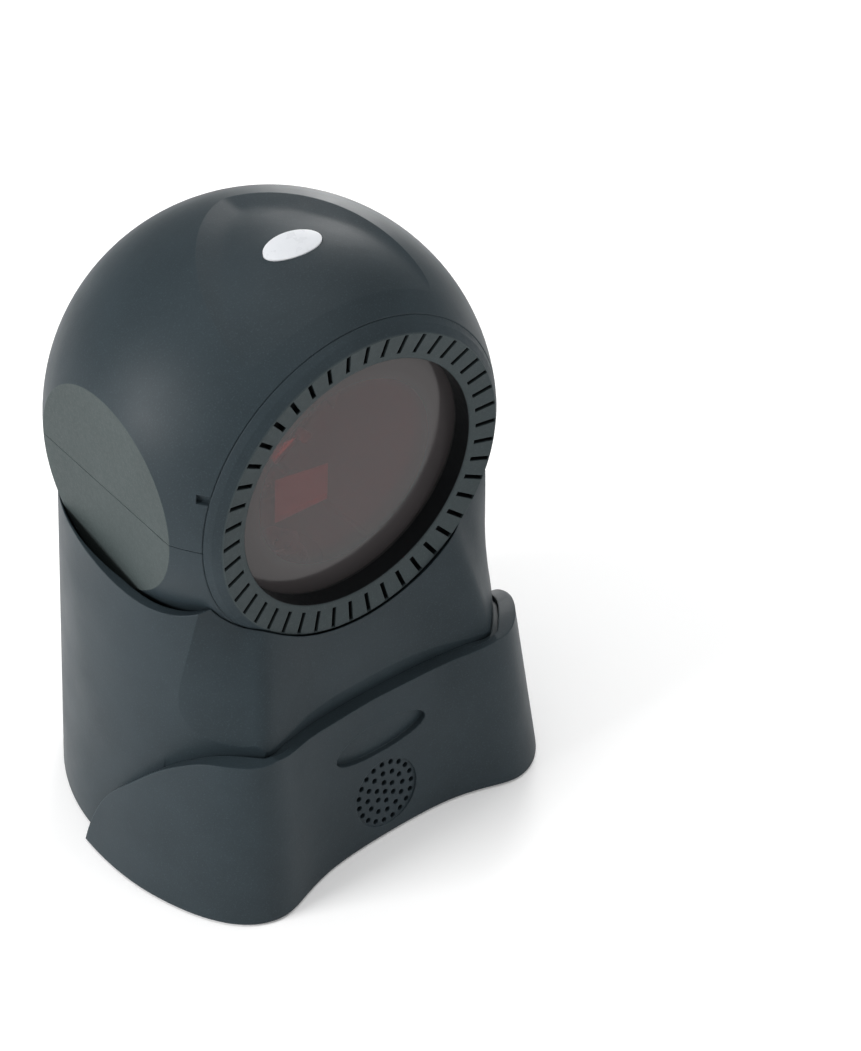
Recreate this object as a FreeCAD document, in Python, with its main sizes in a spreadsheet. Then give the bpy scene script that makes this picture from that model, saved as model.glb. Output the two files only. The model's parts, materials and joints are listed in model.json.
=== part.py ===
import FreeCAD, Part
import math
import os
import Sketcher

# Ball-head presentation scanner: a ball head that tilts in a round stand.
# Every sub-part is drawn about the ball centre (+Z up, window towards -Y)
# and lifted to its height by its Placement. Units are mm.

os.makedirs("parts", exist_ok=True)
doc = FreeCAD.newDocument("scanner")

DIMS = {
    "centre_height": 108.5, "rest_tilt": 2.5,
    "ball_radius": 55.0, "shell_wall": 2.2, "disc_offset": 48.5,
    "seam_depth": 32.7, "reveal": 0.22, "tongue": 1.2, "tongue_wall": 1.05,
    "face_depth": 36.4, "bore_radius": 33.65, "bore_depth": 35.0,
    "spigot_radius": 41.2, "bezel_back": 25.7, "seat_radius": 36.1, "seat_depth": 29.8,
    "slot_count": 45, "slot_width": 1.2, "slot_inner": 35.4, "slot_depth": 2.4,
    "glass_thick": 2.0, "glass_radius": 36.0, "gasket_thick": 0.6,
    "backing": 4.2, "lens_length": 16.0, "lens_width": 8.2, "lens_offset": 8.2,
    "tub_radius": 36.9, "tub_wall": 2.0, "tub_back": 14.0, "tub_front": 24.2,
    "board_radius": 33.0, "board_thick": 1.6,
    "motor_x": 7.0, "motor_z": -8.0, "motor_radius": 10.0, "shaft_radius": 1.5,
    "mirror_flat": 10.0, "mirror_bore": 1.55,
    "floor_drop": 107.7, "foot_height": 0.8,
    "cone_floor": 58.92, "cone_slope": 0.0653, "cone_top": 95.7, "stand_wall": 2.4,
    "cup_gap": 0.3,
    "apron_lean": 8.76, "apron_wall": 2.4, "speaker_depth": 2.2, "ledge_rise": 46.8, "ledge_dip": 5.0,
    "groove": 1.9, "hole_radius": 0.78, "hole_pitch": 2.87, "grille_drop": 95.12,
    "base_thick": 2.5, "ballast_thick": 6.0, "ballast_radius": 44.0, "ballast_bore": 20.0,
    "stem_radius": 15.0, "stud_radius": 4.0, "shoe_radius": 12.0,
    "foot_radius": 6.0, "screw_radius": 1.5, "screw_head": 2.9,
    "jack_width": 15.0, "jack_height": 13.0,
}
sheet = doc.addObject("Spreadsheet::Sheet", "dims")
for row, (alias, value) in enumerate(DIMS.items(), start=1):
    sheet.set("A%d" % row, alias)
    sheet.set("B%d" % row, str(value))
    sheet.setAlias("B%d" % row, alias)
doc.recompute()
D = DIMS

X_AXIS = FreeCAD.Vector(1, 0, 0)
Y_AXIS = FreeCAD.Vector(0, 1, 0)
Z_AXIS = FreeCAD.Vector(0, 0, 1)
TO_WINDOW = FreeCAD.Rotation(X_AXIS, 90)
NODES = []

# Plan positions about the stand's axis: base screws, feet, counter fixing holes.
BOSSES = ((44.0, 28.0), (-44.0, 28.0), (39.6, -31.2), (-39.6, -31.2))
FEET = ((30.0, 36.0), (-30.0, 36.0), (27.0, -23.0), (-27.0, -23.0), (0.0, 0.0))
FIXING = ((28.0, 4.0), (-28.0, 4.0))


# ---------------------------------------------------------------- helpers

def place(x=0.0, y=0.0, z=0.0, rotation=None):
    return FreeCAD.Placement(FreeCAD.Vector(x, y, z), rotation or FreeCAD.Rotation())


def bind(obj, **expressions):
    for prop, expression in expressions.items():
        obj.setExpression(prop, expression)
    return obj


def sphere(name, radius):
    return bind(doc.addObject("Part::Sphere", name), Radius=radius)


def cylinder(name, radius, height, placement=None):
    obj = bind(doc.addObject("Part::Cylinder", name), Radius=radius, Height=height)
    obj.Placement = placement or place()
    return obj


def cone(name, low, high, height, placement=None):
    obj = bind(doc.addObject("Part::Cone", name), Radius1=low, Radius2=high, Height=height)
    obj.Placement = placement or place()
    return obj


def box(name, corner, size, rotation=None):
    obj = doc.addObject("Part::Box", name)
    bind(obj, Length=str(size[0]), Width=str(size[1]), Height=str(size[2]))
    obj.Placement = place(*corner, rotation=rotation)
    return obj


def centred_box(name, centre, size, rotation=None):
    rotation = rotation or FreeCAD.Rotation()
    offset = rotation.multVec(FreeCAD.Vector(size[0] / 2, size[1] / 2, size[2] / 2))
    corner = FreeCAD.Vector(*centre) - offset
    return box(name, (corner.x, corner.y, corner.z), size, rotation)


def cut(name, base, tool):
    obj = doc.addObject("Part::Cut", name)
    obj.Base = base
    obj.Tool = tool
    return obj


def common(name, base, tool):
    obj = doc.addObject("Part::Common", name)
    obj.Base = base
    obj.Tool = tool
    return obj


def fuse(name, shapes):
    obj = doc.addObject("Part::MultiFuse", name)
    obj.Shapes = shapes
    return obj


def cut_all(name, base, tools):
    tool = tools[0] if len(tools) == 1 else fuse(name + "_tools", tools)
    return cut(name, base, tool)


def cut_each(name, base, tools):
    for number, tool in enumerate(tools, start=1):
        base = cut("%s_%d" % (name, number), base, tool)
    return base


def spline_edge(points):
    curve = Part.BSplineCurve()
    curve.interpolate(points)
    return curve.toShape()


def wire_object(name, edges):
    obj = doc.addObject("Part::Feature", name)
    obj.Shape = Part.Wire(edges)
    return obj


def loft(name, sections, ruled=True):
    obj = doc.addObject("Part::Loft", name)
    obj.Sections = sections
    obj.Solid = True
    obj.Ruled = ruled
    return obj


def extrude(name, base, direction, length, backwards=0.0):
    obj = doc.addObject("Part::Extrusion", name)
    obj.Base = base
    obj.DirMode = "Custom"
    obj.Dir = direction
    obj.LengthFwd = length
    obj.LengthRev = backwards
    obj.Solid = True
    return obj


def new_body(name):
    return doc.addObject("PartDesign::Body", name)


def new_sketch(body, role, name):
    sketch = body.newObject("Sketcher::SketchObject", name)
    plane = [f for f in body.Origin.OriginFeatures if f.Role == role][0]
    sketch.AttachmentSupport = [(plane, "")]
    sketch.MapMode = "FlatFace"
    return sketch


def add_circle(sketch, x, y, radius, expression=None):
    index = sketch.addGeometry(Part.Circle(FreeCAD.Vector(x, y, 0), Z_AXIS, radius), False)
    number = sketch.addConstraint(Sketcher.Constraint("Radius", index, radius))
    if expression:
        sketch.setExpression("Constraints[%d]" % number, expression)
    return index


def add_polygon(sketch, points):
    first = sketch.GeometryCount
    count = len(points)
    for i in range(count):
        start = FreeCAD.Vector(points[i][0], points[i][1], 0)
        end = FreeCAD.Vector(points[(i + 1) % count][0], points[(i + 1) % count][1], 0)
        sketch.addGeometry(Part.LineSegment(start, end), False)
    for i in range(count):
        after = first + (i + 1) % count
        sketch.addConstraint(Sketcher.Constraint("Coincident", first + i, 2, after, 1))
    return first


def pad(body, sketch, name, length):
    feature = body.newObject("PartDesign::Pad", name)
    feature.Profile = sketch
    feature.setExpression("Length", length)
    body.Tip = feature
    return feature


def finish(obj, label, head=False):
    obj.Label = label
    rotation = FreeCAD.Rotation(X_AXIS, D["rest_tilt"]) if head else FreeCAD.Rotation()
    lift = place(0, 0, D["centre_height"], rotation)
    obj.Placement = lift.multiply(obj.Placement)
    NODES.append(obj)
    return obj


# ---------------------------------------------------------------- head shells

def ball_solid(name, radius, flat):
    slab = box(name + "_slab", (-flat, -60, -60), (2 * flat, 120, 120))
    return common(name, sphere(name + "_ball", radius), slab)


def scoop_depth(x, y):
    """Depth of the arch-shaped scoop under the ball surface (negative: above it)."""
    half, back, front, power = 27.8, 17.7, -24.0, 1 / 0.7
    u = max(0.0, (y - front) / (back - front))
    level = 1 - u * u - (abs(x) / half) ** power
    slope_y = 2 * u / (back - front)
    slope_x = power * (abs(x) / half) ** (power - 1) / half
    distance = level / max(0.02, math.hypot(slope_x, slope_y))
    wall = distance * math.tan(math.radians(18))
    floor = min(2.0, 0.074 * (y + 27.5))
    blend = 0.35
    high = max(-wall, -floor)
    low = min(-wall, -floor)
    return -(high + blend * math.log(1 + math.exp((low - high) / blend)))


def scoop_tool():
    ball = D["ball_radius"]
    rows = []
    for i in range(33):
        x = -32.0 + 2.0 * i
        row = []
        for j in range(33):
            y = -36.0 + 2.0 * j
            radius = ball - max(-2.5, scoop_depth(x, y))
            row.append(FreeCAD.Vector(x, y, math.sqrt(max(25.0, radius ** 2 - x * x - y * y))))
        rows.append(row)
    surface = Part.BSplineSurface()
    surface.interpolate(rows)
    obj = doc.addObject("Part::Feature", "scoop_tool")
    obj.Shape = surface.toShape().extrude(FreeCAD.Vector(0, 0, 30))
    return obj


def scoop_backing():
    """Thickening inside the shell, behind the scoop."""
    region = box("backing_region", (-30, -25.4, 30), (60, 45.4, 30))
    return cut("scoop_backing", region, sphere("backing_ball", "dims.ball_radius - dims.backing"))


def ellipse_prism(name, length, width, y, z_low, z_high):
    ellipse = doc.addObject("Part::Ellipse", name + "_outline")
    bind(ellipse, MajorRadius=length, MinorRadius=width)
    ellipse.Placement = place(0, y, z_low)
    return extrude(name, ellipse, Z_AXIS, z_high - z_low)


def build_shells():
    ball, wall, flat = D["ball_radius"], D["shell_wall"], D["disc_offset"]
    outer = ball_solid("outer", "dims.ball_radius", flat)
    inner = ball_solid("inner", "dims.ball_radius - dims.shell_wall", flat - wall)
    middle = ball_solid("middle", "dims.ball_radius - dims.shell_wall + dims.tongue_wall",
                        flat - wall + D["tongue_wall"])
    front = box("front_opening", (-70, -70, -70), (140, 70 - D["seam_depth"], 140))
    top_half = box("top_half", (-70, -70, D["reveal"]), (140, 140, 70))
    low_half = box("low_half", (-70, -70, -70), (140, 140, 70))
    tongue_slab = box("tongue_slab", (-70, -70, -1), (140, 140, 1 + D["tongue"]))

    lens_hole = ellipse_prism("lens_hole", "dims.lens_length / 2", "dims.lens_width / 2",
                              -D["lens_offset"], 40, 60)
    notch = centred_box("latch_notch", (-42.6, -32.0, 14.2), (4, 2.4, 2.2),
                        FreeCAD.Rotation(Z_AXIS, -52))
    boss_tops = []
    boss_lows = []
    pilots = []
    sinks = []
    for side in (-1, 1):
        x, y = side * 31.0, 30.0
        boss_tops.append(cylinder("boss_top", "4", "34", place(x, y, 1.3)))
        boss_lows.append(cylinder("boss_low", "4", "36", place(x, y, -34.8)))
        pilots.append(cylinder("boss_pilot", "dims.screw_radius", "12", place(x, y, 1.0)))
        sinks.append(cylinder("boss_bore", "dims.screw_radius + 0.2", "30", place(x, y, -28)))
        sinks.append(cylinder("boss_sink", "dims.screw_head + 0.2", "30", place(x, y, -40)))

    hollow = cut("scoop_hollow", inner, scoop_backing())
    upper_raw = cut("upper_raw", common("upper_block", outer, top_half), hollow)
    upper_tongue = common("upper_tongue", middle, tongue_slab)
    upper_bosses = common("upper_bosses", fuse("boss_tops", boss_tops), outer)
    upper = cut_each("upper_shell", upper_raw,
                     [upper_tongue, front, lens_hole, scoop_tool(), notch])
    upper = cut_all("upper_bored", fuse("upper_with_bosses", [upper, upper_bosses]), pilots)
    finish(upper, "head_upper_shell", head=True)

    low_block = common("low_block", outer, low_half)
    low_tongue = common("low_tongue", middle, tongue_slab)
    low_raw = cut("low_raw", fuse("low_sum", [low_block, low_tongue]), inner)
    low_bosses = common("low_bosses", fuse("boss_lows", boss_lows), outer)
    slot = slot_tool()
    lower = cut_all("lower_raw", low_raw, [front, slot])
    lower = cut_all("lower_shell", fuse("lower_with_bosses", [lower, low_bosses]), sinks)
    finish(lower, "head_lower_shell", head=True)

    for side, label in ((-1, "shell_screw_left"), (1, "shell_screw_right")):
        x, y = side * 31.0, 30.0
        shank = cylinder(label + "_shank", "dims.screw_radius", "22", place(x, y, -10))
        head = cylinder(label + "_head", "dims.screw_head", "2.2", place(x, y, -12.2))
        finish(fuse(label, [shank, head]), label, head=True)


def slot_tool():
    """Curved slot in the underside that lets the clamp stud pass at every tilt."""
    half = D["stud_radius"] + 0.6
    centre = FreeCAD.Vector(0, 0, 0)
    down = FreeCAD.Vector(0, 0, -66)
    ahead = FreeCAD.Rotation(X_AXIS, -20.0).multVec(down)
    behind = FreeCAD.Rotation(X_AXIS, 23.0).multVec(down)
    profile = Part.makePolygon([centre, ahead, FreeCAD.Vector(0, 0, -70), behind, centre])
    outline = wire_object("slot_outline", profile.Edges)
    wedge = extrude("slot_wedge", outline, X_AXIS, half, half)
    keep = cylinder("slot_keep", "40", "120", place(-60, 0, 0, FreeCAD.Rotation(Y_AXIS, 90)))
    return cut("slot_tool", wedge, keep)


# ---------------------------------------------------------------- bezel and window

def build_bezel():
    body = new_body("bezel")
    sketch = new_sketch(body, "XY_Plane", "bezel_profile")
    ball, seam, face = D["ball_radius"], D["seam_depth"], D["face_depth"]
    seam_r = math.sqrt(ball ** 2 - seam ** 2) - 0.35
    face_r = math.sqrt(ball ** 2 - face ** 2)
    mid_d = (seam + face) / 2
    mid_r = math.sqrt(ball ** 2 - mid_d ** 2)
    points = [(D["spigot_radius"], -D["bezel_back"]), (D["seat_radius"], -D["bezel_back"]),
              (D["seat_radius"], -D["seat_depth"]), (D["bore_radius"], -D["seat_depth"]),
              (D["bore_radius"], -D["bore_depth"] + 0.3), (D["bore_radius"] + 0.4, -D["bore_depth"]),
              (face_r - 0.4, -face + 0.03), (face_r + 0.1, -face + 0.4), (mid_r, -mid_d),
              (seam_r, -seam - 0.3), (seam_r, -seam), (D["spigot_radius"], -seam)]
    add_polygon(sketch, points)
    turn = body.newObject("PartDesign::Revolution", "bezel_turn")
    turn.Profile = sketch
    turn.ReferenceAxis = (sketch, ["V_Axis"])
    turn.Angle = 360
    body.Tip = turn
    doc.recompute()
    solid_volume = body.Shape.Volume

    slot = new_sketch(body, "XZ_Plane", "slot_profile")
    inner, half = D["slot_inner"], D["slot_width"] / 2
    add_polygon(slot, [(-half, inner), (half, inner), (half, 40.75), (-half, 40.75)])
    cutter = body.newObject("PartDesign::Pocket", "slot_pocket")
    cutter.Profile = slot
    cutter.Type = 0
    cutter.Reversed = False
    slot.AttachmentOffset = place(0, 0, D["face_depth"] + 0.6)
    cutter.setExpression("Length", "dims.slot_depth + 1.2")
    body.Tip = cutter
    pattern = body.newObject("PartDesign::PolarPattern", "slot_pattern")
    pattern.Originals = [cutter]
    pattern.Axis = (slot, ["N_Axis"])
    pattern.Angle = 360
    pattern.setExpression("Occurrences", "dims.slot_count")
    body.Tip = pattern
    doc.recompute()
    removed = solid_volume - body.Shape.Volume
    if removed < 45 * 10:
        raise RuntimeError("bezel slots removed only %.1f mm3" % removed)

    holes = []
    for turn_deg in (45, 135, 225, 315):
        angle = math.radians(turn_deg)
        spot = place(39.2 * math.cos(angle), -D["bezel_back"] - 5.5, 39.2 * math.sin(angle),
                     FreeCAD.Rotation(X_AXIS, -90))
        holes.append(cylinder("bezel_pilot", "1.25", "6", spot))
    finish(cut_all("bezel_bored", body, holes), "front_bezel", head=True)


def ring(name, outer, inner, depth_back, depth_front):
    """Ring about the window axis between two depths measured towards the window."""
    spot = place(0, -depth_back, 0, TO_WINDOW)
    height = str(depth_front - depth_back)
    disc = cylinder(name + "_disc", outer, height, spot)
    if inner is None:
        return disc
    hole_spot = place(0, -depth_back + 1, 0, TO_WINDOW)
    hole = cylinder(name + "_hole", inner, str(depth_front - depth_back + 2), hole_spot)
    return cut(name, disc, hole)


def build_window():
    glass_front = D["seat_depth"] - D["gasket_thick"]
    glass_back = glass_front - D["glass_thick"]
    gasket = ring("gasket", "dims.glass_radius", "dims.bore_radius + 0.2", glass_front, D["seat_depth"])
    finish(gasket, "window_gasket", head=True)

    body = new_body("window")
    sketch = new_sketch(body, "XZ_Plane", "window_outline")
    sketch.AttachmentOffset = place(0, 0, glass_back)
    add_circle(sketch, 0, 0, D["glass_radius"], "dims.glass_radius")
    pad(body, sketch, "window_pad", "dims.glass_thick")
    finish(body, "scan_window", head=True)

    flange = ring("flange", "41.5", "33.5", D["tub_front"], D["bezel_back"])
    nose = ring("nose", "dims.glass_radius - 0.1", "33.5", D["bezel_back"], glass_back)
    holes = []
    for turn_deg in (45, 135, 225, 315):
        angle = math.radians(turn_deg)
        x, z = 39.2 * math.cos(angle), 39.2 * math.sin(angle)
        holes.append(cylinder("flange_hole", "1.35", "4", place(x, -23.5, z, TO_WINDOW)))
        shank = cylinder("screw_shank", "1.25", "6.4", place(x, -24.2, z, TO_WINDOW))
        head = cylinder("screw_cap", "2.2", "1.4", place(x, -22.8, z, TO_WINDOW))
        label = "retainer_screw_%d" % (turn_deg // 90 + 1)
        finish(fuse(label, [shank, head]), label, head=True)
    finish(cut_all("retainer", fuse("retainer_ring", [flange, nose]), holes), "window_retainer", head=True)


def build_status_light():
    offset = -D["lens_offset"]
    lens_top = ellipse_prism("lens_top", "dims.lens_length / 2 - 0.1", "dims.lens_width / 2 - 0.1",
                             offset, 47.8, 58)
    dome = sphere("lens_dome", "dims.ball_radius - 1.0")
    crown = common("lens_crown", lens_top, dome)
    flange = ellipse_prism("lens_flange", "dims.lens_length / 2 + 0.9", "dims.lens_width / 2 + 0.9",
                           offset, 47.6, 54)
    under = sphere("lens_under", "dims.ball_radius - dims.backing")
    rim = common("lens_rim", flange, under)
    finish(fuse("status_lens_sum", [crown, rim]), "status_lens", head=True)

    board = centred_box("led_board", (0, offset, 46.8), (22, 12, 1.6))
    chips = [centred_box("led_chip", (x, offset, 47.3), (2.4, 2.0, 0.6)) for x in (-4, 4)]
    finish(cut_all("status_board_sum", board, chips), "status_board", head=True)


# ---------------------------------------------------------------- optics

MIRROR_TURNS = (90, 148, 32)


def mirror_frame(turn_deg, radius, y, tilt):
    """Placement of a mirror seat: local -X faces the window axis, leaned by tilt."""
    turn = FreeCAD.Rotation(Y_AXIS, -turn_deg)
    lean = FreeCAD.Rotation(Z_AXIS, tilt)
    spot = turn.multVec(FreeCAD.Vector(radius, 0, 0))
    return place(spot.x, y, spot.z, turn.multiply(lean))


def build_optics():
    tub_outer = ring("tub_outer", "dims.tub_radius", None, -D["tub_back"], D["tub_front"])
    tub_inner = ring("tub_inner", "dims.tub_radius - dims.tub_wall", None,
                     -D["tub_back"] + 2.0, D["tub_front"] + 1)
    relief = box("clamp_relief", (-14.5, -40, -45), (29, 80, 15))
    ribs = []
    for number, turn_deg in enumerate(MIRROR_TURNS, start=1):
        frame = mirror_frame(turn_deg, 27.0, -2.0, 15.0)
        rib = box("mirror_rib", (0, 0, 0), (8.6, 20, 4))
        rib.Placement = frame.multiply(place(1.5, -10, -2))
        ribs.append(rib)
        plate = box("pattern_plate", (0, 0, 0), (1.5, 22, 20))
        plate.Placement = frame.multiply(place(0, -11, -10))
        finish(plate, "pattern_mirror_%d" % number, head=True)
    rib_block = common("rib_block", fuse("ribs", ribs), tub_outer)
    tub = cut_all("tub_open", tub_outer, [tub_inner])
    tub = cut_all("tub_relieved", fuse("tub_ribbed", [tub, rib_block]), [relief])
    finish(tub, "optics_chassis", head=True)

    body = new_body("board")
    sketch = new_sketch(body, "XZ_Plane", "board_outline")
    sketch.AttachmentOffset = place(0, 0, -12.0)
    add_polygon(sketch, [(-22, -22), (22, -22), (28, -10), (28, 12), (20, 22), (-20, 22),
                         (-28, 12), (-28, -10)])
    pad(body, sketch, "board_pad", "dims.board_thick")
    finish(body, "main_board", head=True)

    face = 12.0 - D["board_thick"]
    chips = []
    for x, z, w, h, t in ((16.5, 6, 7, 6, 1.4), (22, -4, 5, 7, 1.8), (21.5, -15, 5, 5, 5.0),
                          (5, 7, 7, 5, 1.6), (-6, 8, 5, 4, 2.2), (11, 6.5, 2.2, 3, 2.6)):
        chips.append(box("chip", (x - w / 2, face - t, z - h / 2), (w, t, h)))
    base = box("chip_carrier", (-7, face - 0.3, 5.5), (25, 0.3, 3))
    link = box("chip_link", (19.2, face - 0.3, -16), (2.4, 0.3, 21.5))
    finish(fuse("board_chip_sum", chips + [base, link]), "board_components", head=True)

    x, z = D["motor_x"], D["motor_z"]
    motor = cylinder("motor_can", "dims.motor_radius", "6", place(x, face, z, TO_WINDOW))
    shaft = cylinder("motor_shaft", "dims.shaft_radius", "10", place(x, face - 5.5, z, TO_WINDOW))
    finish(fuse("motor_sum", [motor, shaft]), "motor_housing", head=True)

    body = new_body("polygon")
    sketch = new_sketch(body, "XZ_Plane", "polygon_outline")
    sketch.AttachmentOffset = place(0, 0, -3.8)
    corner = D["mirror_flat"] / math.cos(math.radians(30))
    add_polygon(sketch, [(x + corner * math.cos(math.radians(60 * k)),
                          z + corner * math.sin(math.radians(60 * k))) for k in range(6)])
    add_circle(sketch, x, z, D["mirror_bore"], "dims.mirror_bore")
    pad(body, sketch, "polygon_pad", "7.6")
    finish(body, "polygon_mirror", head=True)

    block = box("laser_body", (-27, -8, -14), (13, 8 + face, 18))
    slot = box("laser_slot", (-25, -9, 0.5), (9, 12, 1.2))
    slot_low = box("laser_slot_low", (-25, -9, -2.5), (9, 12, 1.2))
    bore = cylinder("laser_bore", "2.6", "6", place(-20, -2, -5, FreeCAD.Rotation(Y_AXIS, 90)))
    finish(cut_all("laser_sum", block, [slot, slot_low, bore]), "laser_block", head=True)
    barrel = cylinder("laser_tube", "2.6", "9", place(-20, -2, -5, FreeCAD.Rotation(Y_AXIS, 90)))
    finish(cut_all("barrel_sum", barrel, [cylinder("laser_aperture", "1.2", "4",
                   place(-14, -2, -5, FreeCAD.Rotation(Y_AXIS, 90)))]), "laser_barrel", head=True)

    dish = sphere("dish_ball", "40")
    dish.Placement = place(-4, -38, 18)
    plate = box("collector_plate", (-14, -2, 12), (24, face + 2, 9))
    finish(cut("collector_sum", plate, dish), "collecting_mirror", head=True)

    board = box("detector_plate", (-13, -6, -21.2), (20, face + 6, 1.6))
    diode = box("detector_diode", (-8, -4, -19.6), (5, 5, 1.6))
    finish(fuse("detector_sum", [board, diode]), "detector_board", head=True)

    posts = [box("rear_post", (px - 2, 14, pz - 2), (4, 5, 4)) for px, pz in ((-18, 8), (18, 8), (0, -20))]
    plate = box("rear_plate", (-24, 19, -24), (48, 1.6, 36))
    plug = box("rear_plug", (-7, 20.6, -18), (14, 6, 6))
    finish(fuse("decoder_sum", posts + [plate, plug]), "decoder_board", head=True)


# ---------------------------------------------------------------- stand

# Plan outlines of the stand's face at three heights, from its side edge to the middle.
FACE_TOP = ((42.6, -31.6), (40.0, -31.4), (37.8, -31.1), (35.6, -30.8), (33.4, -30.3), (31.4, -29.7),
            (29.6, -29.4), (27.3, -29.4), (24.2, -29.7), (18.2, -30.6), (9.2, -31.2), (0.0, -31.4))
FACE_LEDGE = ((51.3, -22.8), (48.4, -28.7), (45.5, -33.0), (42.3, -37.0), (39.4, -40.2), (37.0, -42.4),
              (34.6, -43.0), (31.5, -42.4), (27.0, -40.9), (20.0, -38.7), (10.0, -37.3), (0.0, -37.0))
FACE_LOW = ((53.5, -20.5), (50.3, -26.3), (47.2, -30.6), (43.8, -34.6), (40.6, -37.8), (37.9, -39.9),
            (35.2, -40.5), (31.8, -39.9), (27.2, -38.4), (20.0, -36.2), (10.0, -34.8), (0.0, -34.5))


def face_section(name, z, half, shift):
    """Outline of everything in front of the stand's face at height z."""
    left = [(-x, y + shift) for x, y in half]
    right = [(-x, y) for x, y in reversed(left[:-1])]
    points = [FreeCAD.Vector(x, y, z) for x, y in left + right]
    side = 72.0
    lift = (side - half[0][0]) * 0.45
    front = -95.0
    start, end = points[0], points[-1]
    corners = [end, FreeCAD.Vector(side, end.y + lift, z), FreeCAD.Vector(side, front, z),
               FreeCAD.Vector(-side, front, z), FreeCAD.Vector(-side, start.y + lift, z), start]
    sides = [Part.makeLine(p, q) for p, q in zip(corners[:-1], corners[1:])]
    return wire_object(name, [spline_edge(points)] + sides)


def face_tool(name, shift):
    """Region in front of the stand's face, moved back by shift for the inside wall."""
    top = face_section(name + "_top", -10.0, FACE_TOP, shift)
    ledge = face_section(name + "_ledge", -61.0, FACE_LEDGE, shift)
    low = face_section(name + "_low", -112.0, FACE_LOW, shift)
    return loft(name, [top, ledge, low])


def rim_tool():
    """Everything above the stand's rim: level behind, dropping forward, up again to the face's corner."""
    curve = [(62.0, -16.4), (40.0, -16.4), (22.0, -16.6), (12.0, -17.2), (5.5, -18.2), (-1.7, -20.0),
             (-7.6, -21.6), (-12.8, -22.9), (-17.4, -23.7), (-21.6, -23.7), (-25.4, -23.1),
             (-28.9, -21.7), (-32.0, -19.8), (-37.0, -17.6), (-62.0, -16.4)]
    points = [FreeCAD.Vector(0, y, z) for y, z in curve]
    back = FreeCAD.Vector(0, points[0].y, 20)
    front = FreeCAD.Vector(0, points[-1].y, 20)
    edges = [spline_edge(points), Part.makeLine(points[-1], front), Part.makeLine(front, back),
             Part.makeLine(back, points[0])]
    return extrude("rim_tool", wire_object("rim_outline", edges), X_AXIS, 80, 80)


def build_column():
    drop = D["floor_drop"]
    skin = cone("column_skin", "dims.cone_floor", "dims.cone_floor - dims.cone_slope * dims.cone_top",
                "dims.cone_top", place(0, 0, -drop))
    void = cone("column_void", "dims.cone_floor - dims.stand_wall",
                "dims.cone_floor - dims.cone_slope * dims.cone_top - dims.stand_wall",
                "dims.cone_top + 1", place(0, 0, -drop))
    outside = cut("column_outside", skin, face_tool("face_tool", 0.0))
    inside = cut("column_inside", void, face_tool("inner_face_tool", 2.6))
    ball = sphere("cup_ball", "dims.ball_radius + dims.cup_gap")
    socket = box("socket_hole", (-D["jack_width"] / 2 - 0.2, 40, -96.2),
                 (D["jack_width"] + 0.4, 30, D["jack_height"] + 0.4))

    wall = cut("column_wall", outside, inside)
    bosses = []
    pilots = []
    for x, y in BOSSES:
        bosses.append(cylinder("column_boss", "4.4", "20", place(x, y, -drop + D["base_thick"])))
        pilots.append(cylinder("column_pilot", "dims.screw_radius", "14", place(x, y, -drop)))
    boss_block = common("boss_block", fuse("boss_sum", bosses), outside)
    total = fuse("column_sum", [wall, boss_block])
    column = cut_all("column_final", total, [ball, rim_tool(), socket] + pilots)
    finish(column, "stand_column")
    return outside


# Half of the apron's plan at the floor, and how much of the full lean each point takes.
APRON_HALF = ((62.9, 1.0, 1.0), (63.1, -8.0, 1.0), (62.0, -20.0, 1.0), (58.4, -33.2, 1.0),
              (52.6, -44.6, 1.0), (45.8, -51.0, 1.0), (38.8, -52.9, 0.92), (31.0, -50.9, 0.69),
              (20.0, -47.9, 0.84), (9.5, -46.9, 0.95))


def apron_section(name, z, wall, lean_inset):
    """Closed plan outline of the apron at height z, pulled in by its lean and by a wall."""
    right = list(APRON_HALF)
    points = right + [(0.0, -46.7, 1.0)] + [(-x, y, share) for x, y, share in reversed(right)]
    moved = []
    last = len(points) - 1
    for i, (x, y, share) in enumerate(points):
        ahead = points[min(last, i + 1)]
        behind = points[max(0, i - 1)]
        tx, ty = ahead[0] - behind[0], ahead[1] - behind[1]
        size = math.hypot(tx, ty)
        nx, ny = ty / size, -tx / size
        if i in (0, last):
            nx, ny = (-1.0 if i == 0 else 1.0), 0.0
        inset = wall + lean_inset * share
        moved.append(FreeCAD.Vector(x + nx * inset, y + ny * inset, z))
    edges = [spline_edge(moved), Part.makeLine(moved[-1], moved[0])]
    return wire_object(name, edges)


def apron_solid(name, wall, top):
    drop = D["floor_drop"]
    lean = math.tan(math.radians(D["apron_lean"]))
    low = apron_section(name + "_low", -drop, wall, 0.0)
    high = apron_section(name + "_high", top, wall, lean * (drop + top))
    return loft(name, [low, high])


def side_tool(name, shift):
    """Everything above the apron's sweeping side edge, lowered by shift."""
    curve = [(1.0, -107.7), (-2.2, -97.0), (-7.6, -87.0), (-15.7, -78.0), (-23.7, -69.8),
             (-30.6, -64.5), (-36.8, -61.4), (-43.0, -60.9), (-60.0, -60.9)]
    points = [FreeCAD.Vector(0, y, z - shift) for y, z in curve]
    start, end = points[0], points[-1]
    a = FreeCAD.Vector(0, end.y, -30)
    b = FreeCAD.Vector(0, 30, -30)
    c = FreeCAD.Vector(0, 30, start.z)
    edges = [spline_edge(points), Part.makeLine(end, a), Part.makeLine(a, b),
             Part.makeLine(b, c), Part.makeLine(c, start)]
    return extrude(name, wire_object(name + "_outline", edges), X_AXIS, 90, 90)


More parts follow.
